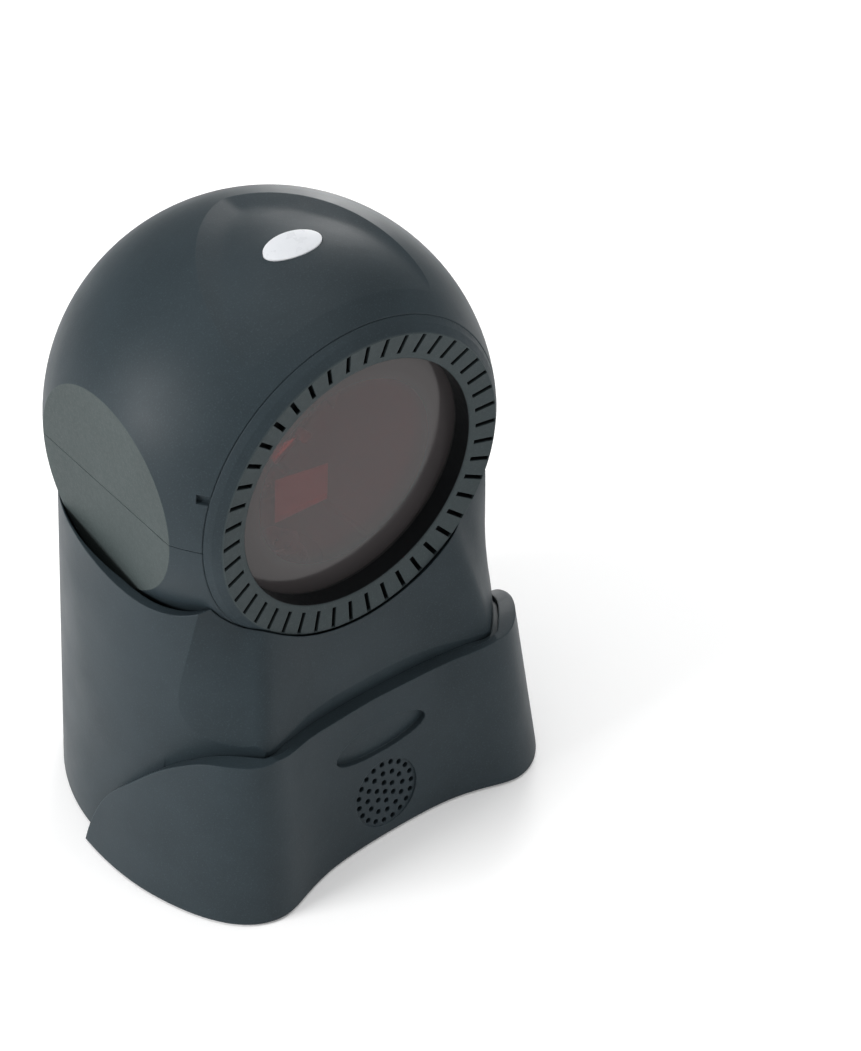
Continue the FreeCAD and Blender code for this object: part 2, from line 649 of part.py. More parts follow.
def dip_tool(name, shift):
    """Everything above the dipped middle of the apron's top edge, lowered by shift."""
    top = D["ledge_rise"] - D["floor_drop"] - shift
    dip = D["ledge_dip"]
    half = ((36.0, 0.0), (30.0, 0.32), (24.0, 0.62), (17.0, 0.87), (9.0, 0.98))
    points = [FreeCAD.Vector(-x, 0, top - dip * share) for x, share in half]
    points.append(FreeCAD.Vector(0, 0, top - dip))
    points += [FreeCAD.Vector(x, 0, top - dip * share) for x, share in reversed(half)]
    a = FreeCAD.Vector(36, 0, -30)
    b = FreeCAD.Vector(-36, 0, -30)
    edges = [spline_edge(points), Part.makeLine(points[-1], a), Part.makeLine(a, b),
             Part.makeLine(b, points[0])]
    return extrude(name, wire_object(name + "_outline", edges), Y_AXIS, 20, 90)


def face_frame(drop):
    """Placement on the apron's middle face: local +Z leaves the face, local +Y runs up it."""
    lean = math.tan(math.radians(D["apron_lean"]))
    y = -46.7 + lean * (D["floor_drop"] - drop)
    return place(0, y, -drop, FreeCAD.Rotation(X_AXIS, 90 - D["apron_lean"]))


def build_apron(outside, frame):
    outer = apron_solid("apron_outer", 0.0, -50.0)
    void = apron_solid("apron_void", D["apron_wall"], -D["floor_drop"] + 36.0)
    void = cut("apron_cavity", void, side_tool("side_inner", 3.4))
    rear = box("apron_rear", (-80, 1.0, -120), (160, 60, 100))

    sketch = doc.addObject("Sketcher::SketchObject", "grille_sketch")
    sketch.Placement = frame
    pitch = D["hole_pitch"]
    add_circle(sketch, 0, 0, D["hole_radius"], "dims.hole_radius")
    for ring_no, count, turn in ((1, 6, 59.0), (2, 12, 29.7), (3, 19, 18.8)):
        for k in range(count):
            angle = math.radians(turn + 360.0 * k / count)
            x, y = ring_no * pitch * math.sin(angle), ring_no * pitch * math.cos(angle)
            add_circle(sketch, x, y, D["hole_radius"], "dims.hole_radius")
    normal = frame.Rotation.multVec(Z_AXIS)
    holes = extrude("grille_holes", sketch, normal, 3, 6)
    dish = cylinder("grille_dish", "9.9", "3", frame.multiply(place(0, 0, -0.3)))

    rim = cylinder("speaker_rim", "11.2", "4.2", frame.multiply(place(0, 0, -5.2)))
    seat = cylinder("speaker_seat", "9.7", "6", frame.multiply(place(0, 0, -D["speaker_depth"] - 6)))

    badge = face_frame(77.6)
    ellipse = doc.addObject("Part::Ellipse", "badge_outline")
    bind(ellipse, MajorRadius="14.4", MinorRadius="4.6")
    ellipse.Placement = badge.multiply(place(0, 0, -0.70, FreeCAD.Rotation(X_AXIS, 9)))
    recess = extrude("badge_recess", ellipse, ellipse.Placement.Rotation.multVec(Z_AXIS), 6)

    wall = cut_each("apron_wall", outer, [void, outside, side_tool("side_edge", 0.0),
                                          dip_tool("dip_edge", 0.0), rear])
    wide = cone("groove_cone", "dims.cone_floor + dims.groove",
                "dims.cone_floor + dims.groove - dims.cone_slope * dims.cone_top",
                "dims.cone_top", place(0, 0, -D["floor_drop"]))
    wide = cut("groove_plan", wide, face_tool("groove_face", -D["groove"]))
    step = side_tool("groove_side", 1.8)
    wall = cut("groove_step", wall, common("groove_ring", wide, step))
    apron = cut_each("apron_final", fuse("apron_rimmed", [wall, rim]), [dish, seat, recess, holes])
    finish(apron, "front_apron")


def build_speaker(frame):
    wall = D["speaker_depth"]
    cloth = cylinder("cloth_disc", "9.6", "0.2", frame.multiply(place(0, 0, -wall - 0.2)))
    finish(cloth, "speaker_cloth")
    can = cylinder("speaker_can", "9.6", "2.0", frame.multiply(place(0, 0, -wall - 2.2)))
    magnet = cylinder("speaker_magnet", "5.5", "1.2", frame.multiply(place(0, 0, -wall - 3.4)))
    finish(fuse("speaker_sum", [can, magnet]), "speaker")


def build_base():
    drop, thick = D["floor_drop"], D["base_thick"]
    blank = cylinder("base_blank", "dims.cone_floor - dims.stand_wall - 0.2", "dims.base_thick",
                     place(0, 0, -drop))
    trim = face_tool("base_trim", 2.8)
    posts = [cylinder("board_post", "2.6", "7.6", place(x, 47.5, -drop + thick)) for x in (-13, 13)]
    holes = []
    for x, y in BOSSES:
        holes.append(cylinder("base_hole", "dims.screw_radius + 0.2", "10", place(x, y, -drop - 1)))
        holes.append(cylinder("base_sink", "dims.screw_head + 0.3", "2.4", place(x, y, -drop - 1)))
    for x, y in FEET:
        holes.append(cylinder("foot_seat", "dims.foot_radius", "1.5", place(x, y, -drop - 1)))
    for x, y in FIXING:
        holes.append(cylinder("fixing_hole", "2.1", "8", place(x, y, -drop - 1)))
    plate = cut_all("base_final", fuse("base_sum", [cut("base_cut", blank, trim)] + posts), holes)
    finish(plate, "base_plate")

    body = new_body("ballast")
    sketch = new_sketch(body, "XY_Plane", "ballast_outline")
    sketch.AttachmentOffset = place(0, 0, -drop + thick)
    add_circle(sketch, 0, 0, D["ballast_radius"], "dims.ballast_radius")
    add_circle(sketch, 0, 0, D["ballast_bore"], "dims.ballast_bore")
    for x, y in FIXING:
        add_circle(sketch, x, y, 2.6)
    pad(body, sketch, "ballast_pad", "dims.ballast_thick")
    trim_box = box("ballast_trim", (-60, -80, -120), (120, 52, 60))
    finish(cut("ballast_final", body, trim_box), "ballast_plate")

    for number, (x, y) in enumerate(FEET, start=1):
        foot = cylinder("foot_pad", "dims.foot_radius", "dims.foot_height + 0.5",
                        place(x, y, -drop - D["foot_height"]))
        finish(foot, "foot_%d" % number)
    for number, (x, y) in enumerate(BOSSES, start=1):
        head = cylinder("base_screw_head", "dims.screw_head", "1.1", place(x, y, -drop + 0.3))
        shank = cylinder("base_screw_shank", "dims.screw_radius", "11.5", place(x, y, -drop + 0.6))
        finish(fuse("base_screw", [head, shank]), "base_screw_%d" % number)


def build_socket():
    base = -D["floor_drop"] + D["base_thick"] + 7.6
    plate = box("io_plate", (-15.5, 28, base), (31, 25, D["board_thick"]))
    chip = box("io_chip", (-12, 31, base + 1.6), (7, 7, 1.4))
    capacitor = cylinder("io_can", "3", "7", place(10.5, 34, base + 1.6))
    finish(fuse("io_sum", [plate, chip, capacitor]), "interface_board")
    low = base + D["board_thick"]
    half = D["jack_width"] / 2
    shell = box("jack_shell", (-half, 42, low), (D["jack_width"], 15, D["jack_height"]))
    mouth = box("jack_mouth", (-5.9, 45, low + 2.4), (11.8, 14, 8.0))
    tab = box("jack_tab", (-3.0, 45, low + 10.4), (6.0, 14, 1.4))
    finish(cut_all("jack_sum", shell, [mouth, tab]), "cable_jack")


def build_saddle():
    drop, thick = D["floor_drop"], D["base_thick"]
    outer = sphere("saddle_outer", "dims.ball_radius + dims.cup_gap + 3")
    inner = sphere("saddle_inner", "dims.ball_radius + dims.cup_gap")
    band = cylinder("saddle_band", "70", "40", place(0, 0, -68))
    cup = common("saddle_cup", outer, band)
    stem = cylinder("saddle_stem", "dims.stem_radius", "50", place(0, 0, -drop + thick))
    foot = cylinder("saddle_foot", "18.5", "3", place(0, 0, -drop + thick))
    webs = []
    for turn_deg in (0, 60, 120):
        rotation = FreeCAD.Rotation(Z_AXIS, turn_deg)
        webs.append(centred_box("saddle_web", (0, 0, -66), (66, 2.4, 40), rotation))
    stud_hole = cylinder("saddle_bore", "dims.stud_radius", "60", place(0, 0, -85))
    core = cylinder("saddle_core", "dims.stem_radius - 3", "22", place(0, 0, -drop + thick - 1))
    solid = fuse("saddle_sum", [cup, stem, foot] + webs)
    saddle = cut_all("saddle_final", solid, [inner, face_tool("saddle_trim", 3.2), stud_hole, core])
    finish(saddle, "ball_saddle")

    stud = cylinder("stud_bar", "dims.stud_radius", "42", place(0, 0, -82))
    finish(stud, "clamp_stud")
    shoe_ball = sphere("shoe_ball", "dims.ball_radius - dims.shell_wall - dims.cup_gap")
    shoe_block = cylinder("shoe_block", "dims.shoe_radius", "12", place(0, 0, -58))
    shoe = common("shoe_cap", shoe_ball, shoe_block)
    bore = cylinder("shoe_bore", "dims.stud_radius", "30", place(0, 0, -65))
    finish(cut("shoe_final", shoe, bore), "clamp_shoe")
    washer = cylinder("washer_disc", "8", "1.2", place(0, 0, -46))
    finish(cut("washer_final", washer, cylinder("washer_bore", "dims.stud_radius", "6",
                                                place(0, 0, -48))), "spring_washer")
    body = new_body("nut")
    sketch = new_sketch(body, "XY_Plane", "nut_outline")
    sketch.AttachmentOffset = place(0, 0, -44.8)
    add_polygon(sketch, [(7.2 * math.cos(math.radians(60 * k)), 7.2 * math.sin(math.radians(60 * k)))
                         for k in range(6)])
    add_circle(sketch, 0, 0, D["stud_radius"], "dims.stud_radius")
    pad(body, sketch, "nut_pad", "4")
    finish(body, "clamp_nut")


# ---------------------------------------------------------------- build and export

build_shells()
build_bezel()
build_window()
build_status_light()
build_optics()
grille_frame = face_frame(D["grille_drop"])
column_outside = build_column()
build_apron(column_outside, grille_frame)
build_speaker(grille_frame)
build_base()
build_socket()
build_saddle()
doc.recompute()

for obj in doc.Objects:
    if "Invalid" in obj.State or "Error" in obj.State:
        raise RuntimeError("%s did not build: %s" % (obj.Name, obj.State))
for obj in NODES:
    shape = obj.Shape
    if shape.isNull() or not shape.isValid():
        raise RuntimeError("bad shape for %s" % obj.Label)
    if len(shape.Solids) != 1:
        print("SOLIDS %s %d" % (obj.Label, len(shape.Solids)))
    shape.exportStep(os.path.join("parts", obj.Label + ".step"))
print("exported", len(NODES))
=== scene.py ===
import json
import math

import bmesh
import bpy
from mathutils import Matrix, Vector


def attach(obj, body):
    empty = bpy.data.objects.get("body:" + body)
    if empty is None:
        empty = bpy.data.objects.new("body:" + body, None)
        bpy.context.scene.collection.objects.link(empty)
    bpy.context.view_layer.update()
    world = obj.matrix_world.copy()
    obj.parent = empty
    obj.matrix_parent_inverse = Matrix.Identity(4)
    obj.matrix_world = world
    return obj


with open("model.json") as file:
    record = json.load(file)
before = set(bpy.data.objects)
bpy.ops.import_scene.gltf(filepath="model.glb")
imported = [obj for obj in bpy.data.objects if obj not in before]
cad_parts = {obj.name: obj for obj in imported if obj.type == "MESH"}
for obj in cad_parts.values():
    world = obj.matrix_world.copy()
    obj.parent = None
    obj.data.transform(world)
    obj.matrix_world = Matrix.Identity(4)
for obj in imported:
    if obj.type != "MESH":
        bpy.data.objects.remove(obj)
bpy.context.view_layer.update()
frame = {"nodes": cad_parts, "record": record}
NODES = frame["nodes"]

# Lengths are in metres. The head's own axes start at the ball's centre, with the window along -Y.
HINGE = Vector(frame["record"]["behaviour"]["joints"][0]["pos_m"])
WINDOW_TILT = math.radians(2.5)    # at rest the window looks down by this much
DISC_PLANE = 0.0485                # the ball's two sides are cut flat here
RING_INNER = 0.03365               # the slotted ring face: radii, and depths along the window's axis
RING_OUTER = 0.0410
RING_INNER_DEPTH = 0.0350
RING_OUTER_DEPTH = 0.0363
FILTER_BACK = 0.0280               # the filter's front face lies beyond the second of these depths
FILTER_FRONT = 0.0284
FILTER_CLEAR = 0.0235              # the filter turns opaque between these radii
FILTER_OPAQUE = 0.0280


# ---------------------------------------------------------------- stage

CAMERA_AZIMUTH = math.radians(40.66)      # to the left of the window
CAMERA_ELEVATION = math.radians(38.29)
CAMERA_ROLL = math.radians(-1.07)
CAMERA_DISTANCE = 0.5697                  # from the ball's centre
CAMERA_RIGHT, CAMERA_UP = 0.03885, -0.0276
CAMERA_NEAR = 0.01
LENS_MM, FILM_HEIGHT_MM = 80.08, 36.0

FLOOR_HALF = 5.0
FLOOR_WHITE = (0.95, 0.95, 0.95, 1.0)
FLOOR_ROUGHNESS = 0.85
FLOOR_GLOW = 0.12

LIGHT_TARGET = Vector((0.0, 0.0, 0.08))
# name, place, width and height, watts
SOFTBOXES = (
    ("left", (-1.05, 0.25, 0.50), (0.5, 0.5), 12.0),
    ("right", (0.80, 0.75, 0.40), (0.4, 0.8), 6.0),
    ("front", (0.55, -1.3, 0.45), (0.4, 0.4), 3.4),
    ("above", (0.1, 0.1, 1.8), (1.6, 1.6), 14.0),
)
SKY_HORIZON, SKY_HIGH = 0.30, 0.42        # strength of the surrounding light, low and high up
SKY_HIGH_FROM = 0.8


def put_in_scene(name, data):
    obj = bpy.data.objects.new(name, data)
    bpy.context.scene.collection.objects.link(obj)
    return obj


def make_camera():
    """From the left of the window and above it."""
    flat = math.cos(CAMERA_ELEVATION)
    towards = Vector((-math.sin(CAMERA_AZIMUTH) * flat, -math.cos(CAMERA_AZIMUTH) * flat,
                      math.sin(CAMERA_ELEVATION)))
    level = Vector((math.cos(CAMERA_AZIMUTH), -math.sin(CAMERA_AZIMUTH), 0.0))
    upright = towards.cross(level)
    right = math.cos(CAMERA_ROLL) * level - math.sin(CAMERA_ROLL) * upright
    up = math.sin(CAMERA_ROLL) * level + math.cos(CAMERA_ROLL) * upright
    data = bpy.data.cameras.new("camera")
    data.sensor_fit = "VERTICAL"
    data.sensor_height = FILM_HEIGHT_MM
    data.lens = LENS_MM
    data.clip_start = CAMERA_NEAR
    camera = put_in_scene("camera", data)
    spot = HINGE + towards * CAMERA_DISTANCE + right * CAMERA_RIGHT + up * CAMERA_UP
    turn = Matrix((right, up, towards)).transposed().to_4x4()
    camera.matrix_world = Matrix.Translation(spot) @ turn
    bpy.context.scene.camera = camera


def make_floor():
    mesh = bpy.data.meshes.new("floor")
    corners = [(-FLOOR_HALF, -FLOOR_HALF, 0), (FLOOR_HALF, -FLOOR_HALF, 0),
               (FLOOR_HALF, FLOOR_HALF, 0), (-FLOOR_HALF, FLOOR_HALF, 0)]
    mesh.from_pydata(corners, [], [(0, 1, 2, 3)])
    floor = put_in_scene("floor", mesh)
    material = bpy.data.materials.new("floor_white")
    material.use_nodes = True
    shader = material.node_tree.nodes["Principled BSDF"]
    shader.inputs["Base Color"].default_value = FLOOR_WHITE
    shader.inputs["Roughness"].default_value = FLOOR_ROUGHNESS
    shader.inputs["Emission Color"].default_value = (1, 1, 1, 1)
    shader.inputs["Emission Strength"].default_value = FLOOR_GLOW
    floor.data.materials.append(material)


def make_lights():
    for name, spot, size, power in SOFTBOXES:
        data = bpy.data.lights.new(name, "AREA")
        data.shape = "RECTANGLE"
        data.size, data.size_y = size
        data.energy = power
        light = put_in_scene(name, data)
        light.location = spot
        light.rotation_euler = (LIGHT_TARGET - Vector(spot)).to_track_quat("-Z", "Y").to_euler()


def make_sky():
    """Even white surroundings, a little stronger high up."""
    world = bpy.data.worlds.new("world")
    bpy.context.scene.world = world
    world.use_nodes = True
    nodes, links = world.node_tree.nodes, world.node_tree.links
    place = nodes.new("ShaderNodeTexCoord")
    split = nodes.new("ShaderNodeSeparateXYZ")
    links.new(place.outputs["Generated"], split.inputs["Vector"])
    rise = nodes.new("ShaderNodeMapRange")
    rise.inputs["From Min"].default_value = 0.0
    rise.inputs["From Max"].default_value = SKY_HIGH_FROM
    rise.inputs["To Min"].default_value = SKY_HORIZON
    rise.inputs["To Max"].default_value = SKY_HIGH
    links.new(split.outputs["Z"], rise.inputs["Value"])
    background = nodes["Background"]
    background.inputs["Color"].default_value = (1, 1, 1, 1)
    links.new(rise.outputs["Result"], background.inputs["Strength"])
    bpy.context.scene.view_settings.view_transform = "Standard"


# ---------------------------------------------------------------- material building

NOISE_LOW, NOISE_HIGH = 0.3, 0.7          # the range that most of a noise's values fall in
EDGE_FLAT, EDGE_SHARP = 0.995, 0.90       # cosine between rounded and plain normal
BEVEL_SAMPLES = 4


class Shader:
    """A material with a Principled surface and short calls for the nodes in front of it."""

    # the Mix node's sockets for its two values and for its result
    MIX_SOCKETS = {"FLOAT": (2, 3, 0), "VECTOR": (4, 5, 1), "RGBA": (6, 7, 2)}

    def __init__(self, name):
        self.material = bpy.data.materials.new(name)
        self.material.use_nodes = True
        self.tree = self.material.node_tree
        self.surface = self.tree.nodes["Principled BSDF"]
        self.output = self.tree.nodes["Material Output"]
        self.place = self.add("ShaderNodeTexCoord").outputs["Object"]

    def add(self, kind, **settings):
        node = self.tree.nodes.new(kind)
        for key, value in settings.items():
            setattr(node, key, value)
        return node

    def feed(self, node, values):
        """Links each socket that is given, and sets each constant on the node itself."""
        for key, value in values.items():
            if isinstance(value, bpy.types.NodeSocket):
                self.tree.links.new(value, node.inputs[key])
            else:
                node.inputs[key].default_value = value
        return node

    def surfaced(self, **values):
        """The finished material, with these values on its Principled surface."""
        self.feed(self.surface, {key.replace("_", " "): value for key, value in values.items()})
        return self.material

    def noise(self, scale, detail=2.0, roughness=0.5, place=None):
        node = self.feed(self.add("ShaderNodeTexNoise"),
                         {"Vector": place or self.place, "Scale": scale, "Detail": detail,
                          "Roughness": roughness})
        return node.outputs["Fac"]

    def cells(self, scale, feature="F1"):
        node = self.feed(self.add("ShaderNodeTexVoronoi", feature=feature),
                         {"Vector": self.place, "Scale": scale})
        return node.outputs["Distance"]

    def math(self, operation, first, second=0.0, clamp=False):
        node = self.add("ShaderNodeMath", operation=operation, use_clamp=clamp)
        return self.feed(node, {0: first, 1: second}).outputs[0]

    def span(self, value, low, high, to_low=0.0, to_high=1.0):
        node = self.feed(self.add("ShaderNodeMapRange"),
                         {"Value": value, "From Min": low, "From Max": high,
                          "To Min": to_low, "To Max": to_high})
        return node.outputs["Result"]

    def vary(self, noise, low, high):
        """Spreads a noise over low to high."""
        return self.span(noise, NOISE_LOW, NOISE_HIGH, low, high)

    def mix(self, factor, first, second, kind="RGBA"):
        first_socket, second_socket, result = self.MIX_SOCKETS[kind]
        node = self.feed(self.add("ShaderNodeMix", data_type=kind),
                         {0: factor, first_socket: first, second_socket: second})
        return node.outputs[result]

    def mix_surfaces(self, factor, first, second):
        node = self.feed(self.add("ShaderNodeMixShader"), {0: factor, 1: first, 2: second})
        return node.outputs[0]

    def bump(self, height, strength, distance, normal=None):
        values = {"Height": height, "Strength": strength, "Distance": distance}
        if normal is not None:
            values["Normal"] = normal
        return self.feed(self.add("ShaderNodeBump"), values).outputs["Normal"]

    def rounded(self, radius):
        """Normal with its edges rounded over by radius."""
        node = self.add("ShaderNodeBevel", samples=BEVEL_SAMPLES)
        return self.feed(node, {"Radius": radius}).outputs["Normal"]

    def edges(self, rounded_normal):
        """1 on an edge, 0 on a flat."""
        plain = self.add("ShaderNodeNewGeometry").outputs["Normal"]
        dot = self.add("ShaderNodeVectorMath", operation="DOT_PRODUCT")
        self.feed(dot, {0: rounded_normal, 1: plain})
        return self.span(dot.outputs["Value"], EDGE_FLAT, EDGE_SHARP)

    def axis(self, name, place=None):
        node = self.feed(self.add("ShaderNodeSeparateXYZ"), {"Vector": place or self.place})
        return node.outputs[name]

    def head_place(self):
        """Coordinates about the ball's centre, with the window's axis along -Y."""
        shifted = self.add("ShaderNodeVectorMath", operation="SUBTRACT")
        self.feed(shifted, {0: self.place, 1: tuple(HINGE)})
        turned = self.add("ShaderNodeVectorRotate", rotation_type="X_AXIS")
        self.feed(turned, {"Vector": shifted.outputs[0], "Angle": -WINDOW_TILT})
        return turned.outputs["Vector"]

    def window_depth(self):
        """Distance in front of the ball's centre, along the window's axis."""
        return self.math("MULTIPLY", self.axis("Y", self.head_place()), -1.0)

    def window_radius(self):
        """Distance from the window's axis."""
        place = self.head_place()
        x, z = self.axis("X", place), self.axis("Z", place)
        return self.math("SQRT", self.math("ADD", self.math("MULTIPLY", x, x),
                                           self.math("MULTIPLY", z, z)))


def rgba(colour, gain=1.0):
    return (colour[0] * gain, colour[1] * gain, colour[2] * gain, 1.0)


# ---------------------------------------------------------------- plastics

CHARCOAL = (0.0225, 0.0325, 0.0385)
# painted light: the ring face's grey is the charcoal painted paler, as if lit face on
RING_GREY_PAINTED_LIT = (0.038, 0.050, 0.053)
# painted light: the side discs' grey is the charcoal painted paler, as if lit from the left; their
# coarser grain is their own
DISC_GREY_PAINTED_LIT = (0.046, 0.058, 0.058)
# painted shade: the black painted into the ring's slots and bore
PAINTED_SHADE_BLACK = (0.006, 0.007, 0.008)
SATIN_SPECULAR = 0.15                     # specular level of the outer mouldings

CLOUD_SWING = 0.10                        # how far the pigment's clouds darken and lighten it
SPECK_GAIN, SPECK_SHARE = 1.75, 0.45
WORN_GAIN, WORN_SHARE = 2.3, 0.55


def moulded_colour(shader, colour, edge, strength=1.0):
    """Cloudy variation in the pigment, with edges rubbed a little lighter."""
    cloud = shader.noise(38.0, detail=4.0, roughness=0.6)
    speck = shader.noise(2600.0, detail=1.0)
    swing = CLOUD_SWING * strength
    base = shader.mix(shader.span(cloud, 0.35, 0.68), rgba(colour, 1 - swing),
                      rgba(colour, 1 + swing))
    base = shader.mix(shader.span(speck, 0.55, 0.78, 0.0, SPECK_SHARE), base,
                      rgba(colour, SPECK_GAIN))
    rubbed = shader.vary(shader.noise(160.0, detail=3.0), 0.25, 1.0)
    worn = shader.math("MULTIPLY", edge, rubbed)
    return shader.mix(shader.math("MULTIPLY", worn, WORN_SHARE), base, rgba(colour, WORN_GAIN))


def moulded_grain(shader, normal, scale=2100.0, strength=0.32, depth=0.00006):
    """Spark-eroded texture of a mould: fine pits over softer, wider ones."""
    fine = shader.noise(scale, roughness=0.7)
    wide = shader.noise(scale * 0.28)
    height = shader.math("ADD", shader.math("MULTIPLY", fine, 0.7),
                         shader.math("MULTIPLY", wide, 0.5))
    return shader.bump(height, strength, depth, normal)


def shell_material():
    """Charcoal satin of the head's halves, with the coarser texture on the side discs and painted
    light making them paler.
    """
    shader = Shader("shell_charcoal")
    normal = shader.rounded(0.0004)
    edge = shader.edges(normal)
    side = shader.math("ABSOLUTE", shader.axis("X"))
    disc = shader.span(side, DISC_PLANE - 0.00012, DISC_PLANE - 0.00004)
    # painted light: the side discs are painted paler than the charcoal
    colour = shader.mix(disc, moulded_colour(shader, CHARCOAL, edge),
                        moulded_colour(shader, DISC_GREY_PAINTED_LIT, edge, 0.6))
    smooth = shader.vary(shader.noise(55.0, detail=4.0), 0.44, 0.52)
    rough = shader.vary(shader.noise(900.0), 0.56, 0.66)
    fine = moulded_grain(shader, normal)
    coarse = moulded_grain(shader, normal, 1300.0, 0.55, 0.00010)
    return shader.surfaced(Base_Color=colour, Roughness=shader.mix(disc, smooth, rough, "FLOAT"),
                           Normal=shader.mix(disc, fine, coarse, "VECTOR"),
                           Specular_IOR_Level=SATIN_SPECULAR)


def stand_material():
    shader = Shader("stand_charcoal")
    normal = shader.rounded(0.0005)
    edge = shader.edges(normal)
    haze = shader.noise(48.0, detail=4.0)
    return shader.surfaced(Base_Color=moulded_colour(shader, CHARCOAL, edge),
                           Roughness=shader.vary(haze, 0.40, 0.50),
                           Normal=moulded_grain(shader, normal, 1900.0, 0.38, 0.00007),
                           Specular_IOR_Level=SATIN_SPECULAR)


def ring_material():
    """Textured ring face with painted light, the ball's own finish outside it, and painted shade:
    black in the slots and the bore.
    """
    shader = Shader("bezel_ring")
    normal = shader.rounded(0.00025)
    edge = shader.edges(normal)
    radius, depth = shader.window_radius(), shader.window_depth()
    face_depth = shader.span(radius, RING_INNER, RING_OUTER, RING_INNER_DEPTH, RING_OUTER_DEPTH)
    # painted shade: the face turns black where it sinks into the slots, and in the bore
    sunk_shade = shader.span(shader.math("SUBTRACT", face_depth, depth), 0.00025, 0.0006)
    outside = shader.span(radius, RING_OUTER - 0.00005, RING_OUTER + 0.00025)
    bore = shader.span(radius, RING_INNER + 0.0001, RING_INNER + 0.00005)
    slots = shader.math("MULTIPLY", sunk_shade, shader.math("SUBTRACT", 1.0, outside), clamp=True)
    # painted light: inside its outer edge the ring face takes the paler, painted-lit grey
    colour = shader.mix(outside, moulded_colour(shader, RING_GREY_PAINTED_LIT, edge, 0.6),
                        moulded_colour(shader, CHARCOAL, edge))
    colour = shader.mix(shader.math("MAXIMUM", slots, bore), colour, rgba(PAINTED_SHADE_BLACK))
    return shader.surfaced(Base_Color=colour,
                           Roughness=shader.vary(shader.noise(700.0), 0.50, 0.60),
                           Normal=moulded_grain(shader, normal, 1500.0, 0.45, 0.00008),
                           Specular_IOR_Level=SATIN_SPECULAR)


def plain_plastic(name, colour, roughness=0.45, grain=1800.0):
    shader = Shader(name)
    normal = shader.rounded(0.0003)
    edge = shader.edges(normal)
    haze = shader.noise(90.0, detail=3.0)
    return shader.surfaced(Base_Color=moulded_colour(shader, colour, edge, 0.7),
                           Roughness=shader.vary(haze, roughness - 0.05, roughness + 0.07),
                           Normal=moulded_grain(shader, normal, grain, 0.25, 0.00005))


# ---------------------------------------------------------------- other materials

def metal(name, colour, roughness=0.3, brushed=(1.0, 1.0, 1.0), scale=900.0):
    """Metal with streaks, which brushed packs closer along an axis, and brighter edges."""
    shader = Shader(name)
    normal = shader.rounded(0.0002)
    edge = shader.edges(normal)
    stretch = shader.feed(shader.add("ShaderNodeMapping"),
                          {"Vector": shader.place, "Scale": brushed})
    streaks = shader.noise(scale, detail=3.0, roughness=0.6, place=stretch.outputs["Vector"])
    stain = shader.noise(120.0, detail=3.0)
    tone = shader.mix(shader.span(stain, 0.35, 0.7), rgba(colour, 0.82), rgba(colour, 1.05))
    bright = tuple(min(1, channel * 1.3) for channel in colour)
    tone = shader.mix(shader.math("MULTIPLY", edge, 0.6), tone, rgba(bright))
    return shader.surfaced(Base_Color=tone, Metallic=1.0,
                           Roughness=shader.vary(streaks, roughness - 0.08, roughness + 0.12),
                           Normal=shader.bump(streaks, 0.25, 0.00003, normal))


def mirror_material():
    """Silvered glass with a film of dust."""
    silver, dusty = (0.80, 0.82, 0.85), (0.62, 0.63, 0.66)
    shader = Shader("first_surface_mirror")
    dust = shader.noise(420.0, detail=4.0, roughness=0.7)
    return shader.surfaced(Base_Color=shader.mix(shader.span(dust, 0.5, 0.8), rgba(silver),
                                                 rgba(dusty)),
                           Metallic=1.0, Roughness=shader.span(dust, 0.4, 0.8, 0.04, 0.16))


def rubber_material():
    black, scuffed = (0.014, 0.014, 0.015), (0.035, 0.034, 0.033)
    shader = Shader("foot_rubber")
    normal = shader.rounded(0.0004)
    scuff = shader.noise(300.0, detail=4.0, roughness=0.65)
    return shader.surfaced(Base_Color=shader.mix(shader.span(scuff, 0.4, 0.75), rgba(black),
                                                 rgba(scuffed)),
                           Roughness=shader.vary(scuff, 0.68, 0.85),
                           Normal=shader.bump(scuff, 0.4, 0.00010, normal))


def cloth_material():
    """Acoustic gauze: two crossing sets of threads."""
    gap, thread = (0.006, 0.006, 0.007), (0.03, 0.03, 0.032)
    shader = Shader("speaker_gauze")
    threads = []
    for direction in ("X", "Z"):
        wave = shader.add("ShaderNodeTexWave", bands_direction=direction)
        shader.feed(wave, {"Vector": shader.place, "Scale": 1400.0})
        threads.append(wave.outputs["Fac"])
    weave = shader.math("MULTIPLY", threads[0], threads[1])
    return shader.surfaced(Base_Color=shader.mix(weave, rgba(gap), rgba(thread)),
                           Roughness=0.9, Normal=shader.bump(weave, 0.6, 0.00008))


def board_material():
    """Green solder mask over copper tracks, with tinned pads."""
    track, mask, tin = (0.05, 0.20, 0.09), (0.012, 0.085, 0.035), (0.62, 0.63, 0.60)
    shader = Shader("circuit_green")
    dots = shader.cells(520.0)
    lanes = shader.cells(210.0, "DISTANCE_TO_EDGE")
    colour = shader.mix(shader.span(lanes, 0.02, 0.05), rgba(track), rgba(mask))
    pads = shader.span(dots, 0.16, 0.12)
    height = shader.math("ADD", lanes, shader.math("MULTIPLY", pads, 0.5))
    return shader.surfaced(Base_Color=shader.mix(pads, colour, rgba(tin)),
                           Metallic=shader.math("MULTIPLY", pads, 0.8),
                           Roughness=shader.vary(shader.noise(300.0), 0.25, 0.38),
                           Normal=shader.bump(height, 0.4, 0.00005))


def lens_material():
    """Milky diffuser over the status lights."""
    shade, white = (0.67, 0.69, 0.72), (0.70, 0.72, 0.75)
    shader = Shader("status_lens_white")
    normal = shader.rounded(0.0003)
    cloud = shader.noise(260.0, detail=3.0)
    return shader.surfaced(Base_Color=shader.mix(shader.span(cloud, 0.35, 0.7), rgba(shade),
                                                 rgba(white)),
                           Roughness=shader.vary(cloud, 0.24, 0.34), Subsurface_Weight=0.35,
                           Subsurface_Radius=(0.004, 0.004, 0.004), Subsurface_Scale=0.5,
                           Normal=shader.bump(cloud, 0.08, 0.00004, normal))


